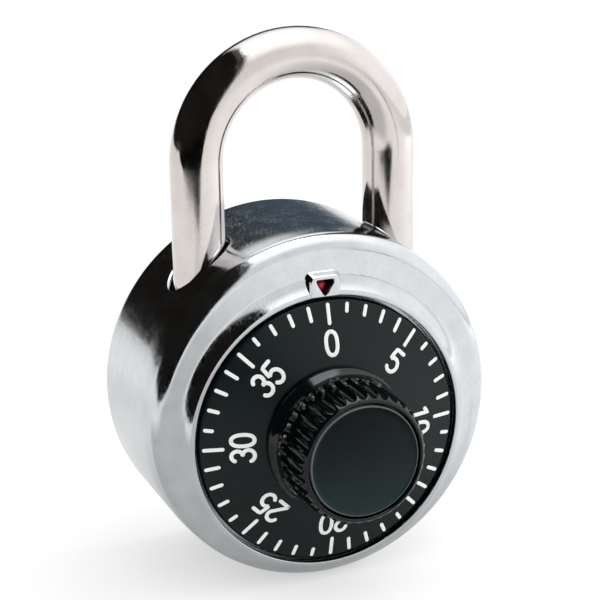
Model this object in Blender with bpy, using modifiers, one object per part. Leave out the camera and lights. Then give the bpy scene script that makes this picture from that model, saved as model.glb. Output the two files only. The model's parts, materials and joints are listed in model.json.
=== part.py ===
"""Combination padlock with a turning dial, in metres, +Z up.

The origin is the centre of the flat back. The shackle points up +Z and the dial faces -Y. Everything is laid
out in a turned frame, held by the empty "padlock": x runs to the right, y up and z (called depth) out of the
front.
"""

import math

import bmesh
import bpy
from mathutils import Matrix, Vector

MM = 0.001
GAP = 0.3 * MM

# Shell
BODY_RADIUS = 24.0 * MM
WALL = 0.9 * MM
FACE_DEPTH = 22.85 * MM
FRONT_ROUND = 3.2 * MM
BACK_ROUND = 2.0 * MM
RIM_RADIUS = 20.9 * MM
LIP_RADIUS = 19.5 * MM
LIP_DEPTH = 23.7 * MM
LIP_ROOT = 22.0 * MM
INDEX_MIDDLE = 20.25 * MM
INDEX_HALF = 1.4 * MM

# Dial, on an axis below the middle of the body
DIAL_DROP = 2.7 * MM
DIAL_RADIUS = 18.3 * MM
DIAL_HOLE = 18.65 * MM
MARK_RADIUS = 17.75 * MM
MARK_DEPTH = 23.5 * MM
CONE_RADIUS = 9.9 * MM
CONE_DEPTH = 25.55 * MM
KNOB_DEPTH = 35.6 * MM
KNOB_RADIUS = 8.9 * MM
CAP_RADIUS = 7.4 * MM
CAP_DEPTH = 35.75 * MM
FLUTES = 36
FLUTE_RADIUS = 0.62 * MM
FLUTE_FOOT = 28.9 * MM

# Shackle
STOCK_RADIUS = 3.5 * MM
LEG_X = 13.6 * MM
SHACKLE_DEPTH = 12.5 * MM
BOW_TOP = 45.85 * MM
TOE_END = 10.0 * MM
HEEL_END = -11.5 * MM
LEG_HOLE = 3.85 * MM
NOTCH_X = LEG_X - STOCK_RADIUS + 1.8 * MM
NOTCH_TOP = 16.0 * MM
NOTCH_BASE = 13.9 * MM
NOTCH_MOUTH = 11.2 * MM

# Inner case and plate
CASE_RADIUS = 22.8 * MM
CASE_BORE = 21.6 * MM
PANEL_RADIUS = 20.3 * MM
PANEL_WALL = 1.0 * MM
CASE_FRONT = 19.9 * MM
PLATE_RADIUS = 22.1 * MM
PLATE_LOW = 20.2 * MM
PLATE_HIGH = 21.2 * MM
EDGE_STEP = 1.2 * MM
FLOOR = PANEL_WALL + GAP
STEP_FLOOR = FLOOR + EDGE_STEP

# Wheel pack, on the dial's axis
SPINDLE_RADIUS = 2.5 * MM
NECK_RADIUS = 1.9 * MM
POST_RADIUS = 2.2 * MM
WHEEL_RADIUS = 13.2 * MM
WHEEL_THICK = 1.0 * MM
WHEEL_1_LOW = 3.2 * MM
WHEEL_2_LOW = 5.2 * MM
CAM_LOW = 7.2 * MM
CAM_HIGH = 8.5 * MM
CAM_RADIUS = 11.4 * MM
TAB_IN = 9.0 * MM
TAB_OUT = 10.6 * MM
TAB_HALF = 0.8 * MM
GATE_HALF = 1.1 * MM
GATE_FLOOR = 2.4 * MM

# Latch
PIVOT = Vector((-14.6 * MM, -9.8 * MM))
LATCH_LOW = 11.0 * MM
LATCH_HIGH = 13.8 * MM
LATCH_POST_RADIUS = 1.5 * MM
HUB_RADIUS = 2.8 * MM
FENCE = Vector((-15.9 * MM, -5.0 * MM))
SPRING_PIN = Vector((-11.0 * MM, -15.6 * MM))

# Heel guide
GUIDE_LOW = 8.6 * MM
GUIDE_HIGH = 11.3 * MM
RING_LOW = -4.8 * MM
RING_HIGH = -3.7 * MM
RIVETS = ((10.7 * MM, 13.4 * MM), (12.8 * MM, 6.9 * MM))

SHELL_STEPS = 56
PIECE_STEPS = 24
MERGE = 1e-6


# --- scene, frames and materials ----------------------------------------------------------------------

def clear_scene():
    for obj in list(bpy.data.objects):
        bpy.data.objects.remove(obj)


def new_collection(name):
    collection = bpy.data.collections.new(name)
    bpy.context.scene.collection.children.link(collection)
    return collection


def material(name, colour, roughness, metallic):
    made = bpy.data.materials.new(name)
    made.use_nodes = True
    shader = made.node_tree.nodes["Principled BSDF"]
    shader.inputs["Base Color"].default_value = (*colour, 1.0)
    shader.inputs["Roughness"].default_value = roughness
    shader.inputs["Metallic"].default_value = metallic
    return made


def frame_empty(name, parent=None, x=0.0, y=0.0, depth=0.0):
    """An empty whose axes are right, up and out of the front."""
    empty = bpy.data.objects.new(name, None)
    PARTS.objects.link(empty)
    empty.parent = parent
    empty.location = (x, y, depth)
    empty.empty_display_size = 4 * MM
    return empty


def place(obj, parent, finish=None):
    """Puts an object into the parts under its frame, or among the cutters when it has no finish."""
    home = PARTS if finish else CUTTERS
    for collection in list(obj.users_collection):
        collection.objects.unlink(obj)
    home.objects.link(obj)
    obj.parent = parent
    if finish:
        obj.data.materials.clear()
        obj.data.materials.append(finish)
    else:
        obj.hide_render = True
        obj.display_type = "WIRE"
    return obj


# --- shapes -------------------------------------------------------------------------------------------

def arc(centre_x, centre_y, radius, start, end, segments):
    """Points along an arc, angles in degrees from +X."""
    angles = [math.radians(start + (end - start) * i / segments) for i in range(segments + 1)]
    return [(centre_x + radius * math.cos(a), centre_y + radius * math.sin(a)) for a in angles]


def turned(name, points, parent, finish=None, steps=PIECE_STEPS, closed=False, upright=False, at=(0, 0, 0)):
    """A turned piece. Its profile runs (radius, height) down the outer side. The height is the depth, or up if
    it is upright."""
    mesh = bpy.data.meshes.new(name)
    edges = [(i, i + 1) for i in range(len(points) - 1)]
    if closed:
        edges.append((len(points) - 1, 0))
    mesh.from_pydata([(r, 0.0, h) for r, h in points], edges, [])
    obj = bpy.data.objects.new(name, mesh)
    place(obj, parent, finish)
    obj.location = at
    if upright:
        obj.rotation_euler = (-math.pi / 2, 0.0, 0.0)
    screw = obj.modifiers.new("Turn", "SCREW")
    screw.steps = screw.render_steps = steps
    screw.use_merge_vertices = True
    screw.merge_threshold = MERGE
    return obj


def ring(name, inner, outer, low, high, parent, finish=None, steps=PIECE_STEPS, **where):
    """A plain turned ring, or a disc if the inner radius is 0."""
    points = [(inner, high), (outer, high), (outer, low), (inner, low)]
    return turned(name, points, parent, finish, steps, closed=inner > 0, **where)


def flat(name, outlines, low, high, parent, finish=None):
    """A plate cut to closed outlines, the first one outside, between two depths."""
    curve = bpy.data.curves.new(name, "CURVE")
    curve.dimensions = "2D"
    curve.fill_mode = "BOTH"
    curve.extrude = (high - low) / 2
    for outline in outlines:
        spline = curve.splines.new("POLY")
        spline.points.add(len(outline) - 1)
        spline.use_cyclic_u = True
        for point, (x, y) in zip(spline.points, outline):
            point.co = (x, y, 0.0, 1.0)
    obj = bpy.data.objects.new(name, curve)
    place(obj, parent, finish)
    obj.location.z = (low + high) / 2
    return meshed(obj)


def meshed(curve_object):
    """Makes a mesh object of a curve, with its caps welded."""
    bpy.context.view_layer.update()
    graph = bpy.context.evaluated_depsgraph_get()
    mesh = bpy.data.meshes.new_from_object(curve_object.evaluated_get(graph))
    work = bmesh.new()
    work.from_mesh(mesh)
    bmesh.ops.remove_doubles(work, verts=work.verts, dist=MERGE)
    bmesh.ops.recalc_face_normals(work, faces=work.faces)
    work.to_mesh(mesh)
    work.free()
    name = curve_object.name
    home = curve_object.users_collection[0]
    made = bpy.data.objects.new(name, mesh)
    home.objects.link(made)
    made.parent = curve_object.parent
    made.matrix_world = curve_object.matrix_world
    made.hide_render = curve_object.hide_render
    made.display_type = curve_object.display_type
    bpy.data.objects.remove(curve_object)
    made.name = name
    return made


def block(name, low, high, parent, finish=None, turn=0.0):
    """A box between two corners, turned about the parent's depth axis by an angle in degrees."""
    work = bmesh.new()
    bmesh.ops.create_cube(work, size=1.0)
    low, high = Vector(low), Vector(high)
    bmesh.ops.scale(work, vec=high - low, verts=work.verts)
    bmesh.ops.translate(work, vec=(low + high) / 2, verts=work.verts)
    mesh = bpy.data.meshes.new(name)
    work.to_mesh(mesh)
    work.free()
    obj = place(bpy.data.objects.new(name, mesh), parent, finish)
    obj.rotation_euler.z = math.radians(turn)
    return obj


def wire(name, points, radius, parent, finish, sides=8, ends=1.0):
    """A round wire or bar along points; ends below 1 taper its two last stretches."""
    curve = bpy.data.curves.new(name, "CURVE")
    curve.dimensions = "3D"
    curve.bevel_depth = radius
    curve.bevel_resolution = (sides - 4) // 2
    curve.use_fill_caps = True
    spline = curve.splines.new("POLY")
    spline.points.add(len(points) - 1)
    for point, place_at in zip(spline.points, points):
        point.co = (*place_at, 1.0)
    spline.points[0].radius = spline.points[-1].radius = ends
    return meshed(place(bpy.data.objects.new(name, curve), parent, finish))


def wave_washer(name, inner, outer, middle, amplitude, thickness, parent, finish):
    """A flat spring ring bent into three waves."""
    segments = 36
    radii = (inner, outer)
    verts, faces = [], []
    for i in range(segments):
        angle = 2 * math.pi * i / segments
        height = middle + amplitude * math.cos(3 * angle)
        verts += [(r * math.cos(angle), r * math.sin(angle), height) for r in radii]
        here, after = 2 * i, 2 * ((i + 1) % segments)
        faces.append((here, here + 1, after + 1, after))
    mesh = bpy.data.meshes.new(name)
    mesh.from_pydata(verts, [], faces)
    obj = place(bpy.data.objects.new(name, mesh), parent, finish)
    solid = obj.modifiers.new("Thickness", "SOLIDIFY")
    solid.thickness = thickness
    solid.offset = 0.0
    return obj


def combine(obj, other, operation):
    """Cuts another object out of this one, or joins it on."""
    boolean = obj.modifiers.new(other.name, "BOOLEAN")
    boolean.operation = operation
    boolean.object = other
    boolean.solver = "EXACT"


def cut(obj, *cutters):
    for cutter in cutters:
        combine(obj, cutter, "DIFFERENCE")


def join(obj, *others):
    for other in others:
        combine(obj, other, "UNION")


def shade(obj):
    if obj.type == "MESH":
        obj.data.shade_smooth()
        obj.data.set_sharp_from_angle(angle=math.radians(35))


# --- casing -------------------------------------------------------------------------------------------

def leg_cutters():
    """Two upright round cutters where the shackle's legs pass through the casing."""
    return [
        ring(f"leg_hole_{side}", 0, LEG_HOLE, 8 * MM, 27 * MM, FRAME, steps=24, upright=True,
             at=(sign * LEG_X, 0, SHACKLE_DEPTH))
        for side, sign in (("toe", -1), ("heel", 1))
    ]


def outer_shell():
    """Side wall and face in one pressing, rolled in over the inner case at the back."""
    front = BODY_RADIUS - FRONT_ROUND
    back = BODY_RADIUS - BACK_ROUND
    turn = FACE_DEPTH - FRONT_ROUND
    points = [(0.0, FACE_DEPTH)]
    points += arc(front, turn, FRONT_ROUND, 90, 0, 5)
    points += arc(back, BACK_ROUND, BACK_ROUND, 0, -90, 3)
    points += [(RIM_RADIUS, 0.0), (RIM_RADIUS, WALL)]
    points += arc(back, BACK_ROUND, BACK_ROUND - WALL, -90, 0, 2)
    points += arc(front, turn, FRONT_ROUND - WALL, 0, 90, 3)
    points += [(0.0, FACE_DEPTH - WALL)]
    shell = turned("outer_shell", points, FRAME, STEEL, SHELL_STEPS)
    inside, edge = DIAL_HOLE - WALL / 2, 0.3 * MM
    lip = [(inside, LIP_DEPTH), (LIP_RADIUS - edge, LIP_DEPTH), (LIP_RADIUS, LIP_DEPTH - edge)]
    lip += [(LIP_RADIUS, LIP_ROOT), (inside, LIP_ROOT)]
    join(shell, turned("lip", lip, DIAL_FRAME, steps=SHELL_STEPS, closed=True), index_housing())
    cut(shell, ring("dial_hole", 0, DIAL_HOLE, 15 * MM, 30 * MM, DIAL_FRAME, steps=SHELL_STEPS))
    cut(shell, flat("index_window", [index_triangle(INDEX_HALF)], 18 * MM, 27 * MM, DIAL_FRAME))
    cut(shell, *LEG_HOLES)
    return shell


def index_triangle(half_width, middle=INDEX_MIDDLE):
    """A triangle that points down at the dial."""
    return [(-half_width, middle + half_width * 0.75), (0.0, middle - half_width * 0.9),
            (half_width, middle + half_width * 0.75)]


def index_housing():
    """A low raised housing over the index window."""
    low, high = INDEX_MIDDLE - 1.5 * MM, INDEX_MIDDLE + 2.1 * MM
    outline = [(-2.6 * MM, low), (2.6 * MM, low), (2.2 * MM, high), (-2.2 * MM, high)]
    return flat("index_housing", [outline], LIP_ROOT + 0.5 * MM, LIP_DEPTH - 0.05 * MM, DIAL_FRAME)


def index_marker():
    """Red insert: a round foot behind the face and a triangle that shows in the window."""
    marker = ring("index_marker", 0, 1.9 * MM, 21.45 * MM, 21.7 * MM, DIAL_FRAME, RED, steps=24,
                  at=(0, INDEX_MIDDLE + 0.3 * MM, 0))
    join(marker, flat("index_point", [index_triangle(0.85 * MM)], 21.6 * MM, 22.9 * MM, DIAL_FRAME))
    return marker


def inner_case():
    """Second cup. Its floor is the flat back, set back at the edge under the shell's rolled rim."""
    step, corner, fillet = EDGE_STEP, 1.6 * MM, 0.6 * MM
    inner_edge = PANEL_RADIUS - PANEL_WALL
    points = [(0.0, PANEL_WALL), (inner_edge, PANEL_WALL), (inner_edge, step + PANEL_WALL)]
    points += [(CASE_BORE - fillet, step + PANEL_WALL), (CASE_BORE, step + PANEL_WALL + fillet)]
    points += [(CASE_BORE, CASE_FRONT), (CASE_RADIUS, CASE_FRONT)]
    points += arc(CASE_RADIUS - corner, step + corner, corner, 0, -90, 3)
    points += [(PANEL_RADIUS + 0.2 * MM, step), (PANEL_RADIUS, step - 0.2 * MM), (PANEL_RADIUS, 0.25 * MM)]
    points += [(PANEL_RADIUS - 0.25 * MM, 0.0), (0.0, 0.0)]
    case = turned("inner_case", points, FRAME, ZINC, SHELL_STEPS)
    cut(case, *LEG_HOLES)
    return case


def bearing_plate():
    edge = 0.3 * MM
    points = [(0.0, PLATE_HIGH), (PLATE_RADIUS - 2 * edge, PLATE_HIGH), (PLATE_RADIUS, PLATE_HIGH - edge)]
    points += [(PLATE_RADIUS, PLATE_LOW), (0.0, PLATE_LOW)]
    plate = turned("bearing_plate", points, FRAME, ZINC, 40)
    cut(plate, ring("bushing_hole", 0, 3.9 * MM, 18 * MM, 24 * MM, DIAL_FRAME))
    return plate


# --- dial and spindle ---------------------------------------------------------------------------------

def dial():
    """Coned disc with a seat for the knob, hollow underneath."""
    under, seat, hollow, bore, edge = 21.6 * MM, 25.0 * MM, 23.95 * MM, SPINDLE_RADIUS + GAP, 0.2 * MM
    points = [(bore, seat), (CONE_RADIUS - 0.7 * MM, seat), (CONE_RADIUS - 0.5 * MM, CONE_DEPTH)]
    points += [(CONE_RADIUS, CONE_DEPTH), (MARK_RADIUS, MARK_DEPTH)]
    points += [(DIAL_RADIUS - edge, MARK_DEPTH - edge / 2), (DIAL_RADIUS, MARK_DEPTH - 0.35 * MM)]
    points += [(DIAL_RADIUS, under + edge), (DIAL_RADIUS - edge, under)]
    points += [(16.9 * MM, under), (16.4 * MM, 22.3 * MM), (CONE_RADIUS, hollow), (bore, hollow)]
    return turned("dial", points, DIAL_FRAME, DIAL_BLACK, SHELL_STEPS, closed=True)


def knob():
    """Fluted barrel on a smooth flange, hollow, with a socket for the spindle and a recess for the cap."""
    foot, recess, ceiling, edge = 25.3 * MM, 34.4 * MM, 32.6 * MM, 0.15 * MM
    socket, hub, well = SPINDLE_RADIUS + GAP, 4.6 * MM, CAP_RADIUS + GAP
    points = [(0.0, recess), (well, recess), (well, KNOB_DEPTH - edge), (well + edge, KNOB_DEPTH)]
    points += [(8.25 * MM, 35.3 * MM), (8.7 * MM, 34.6 * MM), (KNOB_RADIUS, 33.7 * MM)]
    points += [(KNOB_RADIUS, FLUTE_FOOT), (9.05 * MM, 27.8 * MM), (9.4 * MM, 27.1 * MM)]
    points += [(9.75 * MM, 26.6 * MM), (9.75 * MM, 26.2 * MM), (8.7 * MM, foot), (7.5 * MM, foot)]
    points += [(7.2 * MM, ceiling), (hub, ceiling + GAP), (hub, foot), (socket, foot), (socket, ceiling)]
    points.append((0.0, ceiling))
    body = turned("knob", points, DIAL_FRAME, KNOB_BLACK, FLUTES)
    cut(body, flute_cutters())
    return body


def flute_cutters():
    """Round rods that lie along the knob's side, between the points of its profile, in one mesh."""
    work = bmesh.new()
    length = KNOB_DEPTH + MM - FLUTE_FOOT
    middle = Matrix.Translation((KNOB_RADIUS + 0.15 * MM, 0.0, FLUTE_FOOT + length / 2))
    for i in range(FLUTES):
        around = Matrix.Rotation(2 * math.pi * (i + 0.5) / FLUTES, 4, "Z")
        bmesh.ops.create_cone(work, cap_ends=True, segments=6, radius1=FLUTE_RADIUS, radius2=FLUTE_RADIUS,
                              depth=length, matrix=around @ middle)
    mesh = bpy.data.meshes.new("flutes")
    work.to_mesh(mesh)
    work.free()
    return place(bpy.data.objects.new("flutes", mesh), DIAL_FRAME)


def knob_cap():
    low, edge = 34.7 * MM, 0.25 * MM
    points = [(0.0, CAP_DEPTH), (CAP_RADIUS - edge, CAP_DEPTH), (CAP_RADIUS, CAP_DEPTH - edge)]
    points += [(CAP_RADIUS, low), (0.0, low)]
    return turned("knob_cap", points, DIAL_FRAME, KNOB_BLACK, 36)


def spindle():
    """Shaft from the knob down to the drive cam, with a groove for its retaining ring."""
    groove, low, high = 2.05 * MM, 13.8 * MM, 14.9 * MM
    points = [(0.0, 32.3 * MM), (SPINDLE_RADIUS - 0.2 * MM, 32.3 * MM), (SPINDLE_RADIUS, 32.1 * MM)]
    points += [(SPINDLE_RADIUS, high), (groove, high), (groove, low), (SPINDLE_RADIUS, low)]
    points += [(SPINDLE_RADIUS, CAM_HIGH + GAP), (NECK_RADIUS, CAM_HIGH + GAP)]
    points += [(NECK_RADIUS, CAM_LOW), (0.0, CAM_LOW)]
    return turned("spindle", points, DIAL_FRAME, BRASS, 24)


def spindle_ring():
    clip = ring("spindle_ring", 2.35 * MM, 4.0 * MM, 14.1 * MM, 14.6 * MM, DIAL_FRAME, SPRING_STEEL, 24)
    cut(clip, block("spindle_ring_slot", (-1.2 * MM, -5 * MM, 13 * MM), (1.2 * MM, 0, 16 * MM), DIAL_FRAME))
    return clip


def spindle_bushing():
    """Flanged tube in the bearing plate."""
    bore, tube, flange, top = SPINDLE_RADIUS + GAP, 3.6 * MM, 5.4 * MM, PLATE_HIGH - 0.2 * MM
    points = [(bore, top), (tube, top), (tube, PLATE_LOW - GAP), (flange, PLATE_LOW - GAP)]
    points += [(flange, 19.0 * MM), (tube, 19.0 * MM), (tube, 15.0 * MM), (bore, 15.0 * MM)]
    return turned("spindle_bushing", points, DIAL_FRAME, BRASS, closed=True)


# --- wheel pack ---------------------------------------------------------------------------------------

def gate(name, radius, angle, parent):
    """Cutter for the slot that the fence drops into, at an angle in degrees clockwise from the top."""
    low = (-GATE_HALF, radius - GATE_FLOOR, 0.0)
    return block(name, low, (GATE_HALF, radius + 2 * MM, 12 * MM), parent, turn=-angle)


def tab(name, low, high, angle, parent):
    """Pick-up tab between two depths."""
    return block(name, (-TAB_HALF, TAB_IN, low), (TAB_HALF, TAB_OUT, high), parent, turn=-angle)


def wheel(name, low, gate_angle, tabs, parent):
    """Gated disc with three lightening holes and its pick-up tabs, given as (side, angle)."""
    high = low + WHEEL_THICK
    disc = ring(name, POST_RADIUS + GAP, WHEEL_RADIUS, low, high, parent, ZINC, 40)
    reach = 0.7 * MM
    for side, angle in tabs:
        span = (high - GAP, high + reach) if side == "front" else (low - reach, low + GAP)
        join(disc, tab(f"{name}_{side}_tab", *span, angle, parent))
    for i in range(3):
        angle = math.radians(gate_angle + 60 + 120 * i)
        middle = (6.2 * MM * math.sin(angle), 6.2 * MM * math.cos(angle), 0.0)
        cut(disc, ring(f"{name}_hole_{i}", 0, 1.7 * MM, 0.0, 12 * MM, parent, steps=16, at=middle))
    cut(disc, gate(f"{name}_gate", WHEEL_RADIUS, gate_angle, parent))
    return disc


def drive_cam():
    """Third wheel, on the end of the spindle, with a tab that picks up wheel 2."""
    cam = ring("drive_cam", NECK_RADIUS + GAP, CAM_RADIUS, CAM_LOW, CAM_HIGH, DIAL_FRAME, ZINC, 40)
    join(cam, tab("drive_cam_tab", CAM_LOW - 0.7 * MM, CAM_LOW + GAP, 180, DIAL_FRAME))
    cut(cam, gate("drive_cam_gate", CAM_RADIUS, 75, DIAL_FRAME))
    return cam


def wheel_post():
    """Fixed post on the back of the case that carries the two wheels and their spacers."""
    top, edge, foot, foot_top = 6.9 * MM, 0.2 * MM, 3.9 * MM, 1.8 * MM
    points = [(0.0, top), (POST_RADIUS - edge, top), (POST_RADIUS, top - edge), (POST_RADIUS, foot_top)]
    points += [(foot, foot_top), (foot, FLOOR), (0.0, FLOOR)]
    return turned("wheel_post", points, DIAL_FRAME, BRASS)


def spacer(name, low):
    return ring(name, POST_RADIUS + GAP, 6.0 * MM, low, low + 0.4 * MM, DIAL_FRAME, BRASS)


# --- latch --------------------------------------------------------------------------------------------

def circle(centre, radius, segments):
    """A closed round outline."""
    angles = [2 * math.pi * i / segments for i in range(segments)]
    return [(centre.x + radius * math.cos(a), centre.y + radius * math.sin(a)) for a in angles]


def relative(points, origin):
    """Points given in the body's frame in millimetres, measured from another origin."""
    return [(x * MM - origin.x, y * MM - origin.y) for x, y in points]


def latch():
    """Locking lever: hub on its post, lobe for the fence bar, bowed arm and a nose in the toe's notch."""
    hub = [(x, y) for x, y in arc(0.0, 0.0, HUB_RADIUS, -160, 0, 10)]
    right = [(-11.0, -5.0), (-9.4, 0.0), (-7.6, 5.0), (-6.4, 10.0), (-6.2, 14.6), (-6.9, 16.0)]
    nose = [(-8.0, 16.0), (-9.7, 15.6), (-11.1, 15.0), (-11.5, 14.8), (-11.5, 14.5), (-9.5, 11.5)]
    left = [(-9.6, 9.4), (-10.8, 5.0), (-12.6, 0.5), (-14.6, -2.9), (-16.4, -3.4), (-17.4, -4.6)]
    left.append((-17.4, -6.0))
    outline = hub + relative(right + nose + left, PIVOT)
    lobe = FENCE - PIVOT
    holes = [circle(Vector((0, 0)), LATCH_POST_RADIUS + GAP, 20), circle(lobe, 0.95 * MM, 12)]
    return flat("latch", [outline, *holes], LATCH_LOW, LATCH_HIGH, LATCH_FRAME, ZINC)


def fence_bar():
    """Bar that reaches back beside the wheels' rims, riveted into the latch."""
    where = (*(FENCE - PIVOT), 0.0)
    head = LATCH_HIGH + 0.25 * MM
    bar = ring("fence_bar", 0, 0.6 * MM, 2.6 * MM, LATCH_LOW - GAP, LATCH_FRAME, SPRING_STEEL, 12, at=where)
    shank = (LATCH_LOW - MM, head + 0.05 * MM)
    join(bar, ring("fence_shank", 0, 0.55 * MM, *shank, LATCH_FRAME, steps=12, at=where))
    join(bar, ring("fence_head", 0, 1.3 * MM, head, head + 0.55 * MM, LATCH_FRAME, steps=12, at=where))
    return bar


def latch_post():
    """Riveted post with a groove for its clip."""
    groove, low, high, top, edge = 1.05 * MM, 14.2 * MM, 15.3 * MM, 15.9 * MM, 0.2 * MM
    points = [(0.0, top), (LATCH_POST_RADIUS - edge, top), (LATCH_POST_RADIUS, top - edge)]
    points += [(LATCH_POST_RADIUS, high), (groove, high), (groove, low), (LATCH_POST_RADIUS, low)]
    points += [(LATCH_POST_RADIUS, FLOOR), (0.0, FLOOR)]
    return turned("latch_post", points, FRAME, ZINC, 20, at=(*PIVOT, 0.0))


def latch_clip():
    clip = ring("latch_clip", 1.35 * MM, 2.7 * MM, 14.5 * MM, 15.0 * MM, LATCH_SIDE, SPRING_STEEL, 20)
    cut(clip, block("latch_clip_slot", (0, -0.8 * MM, 13 * MM), (4 * MM, 0.8 * MM, 16 * MM), LATCH_SIDE))
    return clip


def latch_spring():
    """Torsion spring round the latch post, from the spring pin to a hook on the latch's arm."""
    coil, turns, per_turn, pitch = 2.05 * MM, 4, 12, 0.75 * MM
    low = 6.9 * MM
    pin = SPRING_PIN - PIVOT
    start = math.atan2(pin.y, pin.x) + math.radians(55)
    points = [(pin.x + 1.3 * MM, pin.y + 0.9 * MM, low)]
    for i in range(turns * per_turn + 1):
        angle = start + 2 * math.pi * i / per_turn
        points.append((coil * math.cos(angle), coil * math.sin(angle), low + pitch * i / per_turn))
    top = low + pitch * turns
    arm = relative([(-12.4, -6.6), (-10.3, -4.6), (-9.4, -2.6)], PIVOT)
    points += [(*arm[0], top + 0.3 * MM), (*arm[1], top + 0.5 * MM), (*arm[2], top + 1.2 * MM)]
    points.append((arm[2][0], arm[2][1], LATCH_HIGH - MM))
    return wire("latch_spring", points, 0.28 * MM, LATCH_SIDE, SPRING_STEEL, sides=6)


def spring_pin():
    return ring("spring_pin", 0, 0.8 * MM, STEP_FLOOR, 9.5 * MM, FRAME, ZINC, 16, at=(*SPRING_PIN, 0.0))


# --- shackle ------------------------------------------------------------------------------------------

def shackle():
    """Bent round bar: a long heel leg with a groove, and a short toe leg with a notch on its inner side."""
    chamfer = 0.9 * MM
    centre = BOW_TOP - LEG_X
    points = [(-LEG_X, TOE_END, 0.0), (-LEG_X, TOE_END + chamfer, 0.0)]
    points += [(x, y, 0.0) for x, y in arc(0.0, centre, LEG_X, 180, 0, 22)]
    points += [(LEG_X, HEEL_END + chamfer, 0.0), (LEG_X, HEEL_END, 0.0)]
    bar = wire("shackle", points, STOCK_RADIUS, SHACKLE_FRAME, CHROME, sides=20, ends=0.74)
    notch = [(-NOTCH_X, NOTCH_TOP), (-NOTCH_X, NOTCH_BASE), (-LEG_X + STOCK_RADIUS, NOTCH_MOUTH)]
    notch += [(-LEG_X + 2 * STOCK_RADIUS, NOTCH_MOUTH - 5.25 * MM), (-LEG_X + 2 * STOCK_RADIUS, NOTCH_TOP)]
    groove = ring("heel_groove", 2.8 * MM, 5 * MM, RING_LOW - GAP, RING_HIGH + GAP, SHACKLE_FRAME, steps=24,
                  upright=True, at=(LEG_X, 0, 0))
    cut(bar, flat("toe_notch", [notch], -5 * MM, 5 * MM, SHACKLE_FRAME), groove)
    return bar


def heel_ring():
    """Split ring that keeps the heel leg in the case."""
    clip = ring("heel_ring", 3.1 * MM, 4.35 * MM, RING_LOW, RING_HIGH, SHACKLE_FRAME, SPRING_STEEL, 32,
                upright=True, at=(LEG_X, 0, 0))
    low = (LEG_X - 1.5 * MM, RING_LOW - MM, 0.0)
    cut(clip, block("heel_ring_slot", low, (LEG_X + 1.5 * MM, RING_HIGH + MM, 6 * MM), SHACKLE_FRAME))
    return clip


def heel_guide():
    """Bracket that the heel leg slides in, on a foot riveted to the back."""
    low, high = (8.9 * MM, GUIDE_LOW, FLOOR + 0.7 * MM), (18.0 * MM, GUIDE_HIGH, 17.6 * MM)
    guide = block("heel_guide", low, high, FRAME, ZINC)
    foot = [(9.2, 5.2), (15.6, 5.2), (16.9, 8.3), (14.9, 11.6), (12.6, 14.0), (9.2, 15.2)]
    join(guide, flat("guide_foot", [relative(foot, Vector((0, 0)))], FLOOR, FLOOR + MM, FRAME))
    cut(guide, block("guide_relief", (15.2 * MM, 8 * MM, 0), (20 * MM, 13 * MM, FLOOR + 1.8 * MM), FRAME))
    cut(guide, ring("guide_bore", 0, STOCK_RADIUS + GAP, GUIDE_LOW - MM, GUIDE_HIGH + MM, FRAME, steps=32,
                    upright=True, at=(LEG_X, 0, SHACKLE_DEPTH)))
    for i, (x, y) in enumerate(RIVETS):
        cut(guide, ring(f"rivet_hole_{i}", 0, 0.95 * MM, 0, 3 * MM, FRAME, steps=16, at=(x, y, 0)))
    return guide


def guide_rivet(name, x, y):
    head, top = 1.4 * MM, FLOOR + MM + GAP
    points = [(0.0, top + 0.6 * MM), (head * 0.6, top + 0.5 * MM), (head, top + 0.15 * MM), (head, top)]
    points += [(0.65 * MM, top), (0.65 * MM, FLOOR), (0.0, FLOOR)]
    return turned(name, points, FRAME, ZINC, 16, at=(x, y, 0))


clear_scene()
PARTS = new_collection("combination_padlock")
CUTTERS = new_collection("cutters")

STEEL = material("polished_steel", (0.72, 0.73, 0.75), 0.22, 1.0)
CHROME = material("shackle_steel", (0.80, 0.78, 0.77), 0.12, 1.0)
ZINC = material("zinc_plate", (0.58, 0.60, 0.62), 0.38, 1.0)
SPRING_STEEL = material("spring_steel", (0.35, 0.35, 0.37), 0.35, 1.0)
BRASS = material("brass", (0.72, 0.55, 0.28), 0.35, 1.0)
DIAL_BLACK = material("dial_black", (0.015, 0.018, 0.019), 0.45, 0.0)
KNOB_BLACK = material("knob_black", (0.010, 0.011, 0.012), 0.22, 0.0)
RED = material("index_red", (0.55, 0.02, 0.03), 0.4, 0.0)

FRAME = frame_empty("padlock")
FRAME.rotation_euler = (math.pi / 2, 0.0, 0.0)
DIAL_FRAME = frame_empty("dial_axis", FRAME, y=-DIAL_DROP)
WHEEL_2_FRAME = frame_empty("wheel_2_axis", DIAL_FRAME)
WHEEL_1_FRAME = frame_empty("wheel_1_axis", WHEEL_2_FRAME)
LATCH_SIDE = frame_empty("latch_post_axis", FRAME, *PIVOT)
LATCH_FRAME = frame_empty("latch_axis", FRAME, *PIVOT)
SHACKLE_FRAME = frame_empty("shackle_slide", FRAME, depth=SHACKLE_DEPTH)
LEG_HOLES = leg_cutters()

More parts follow.
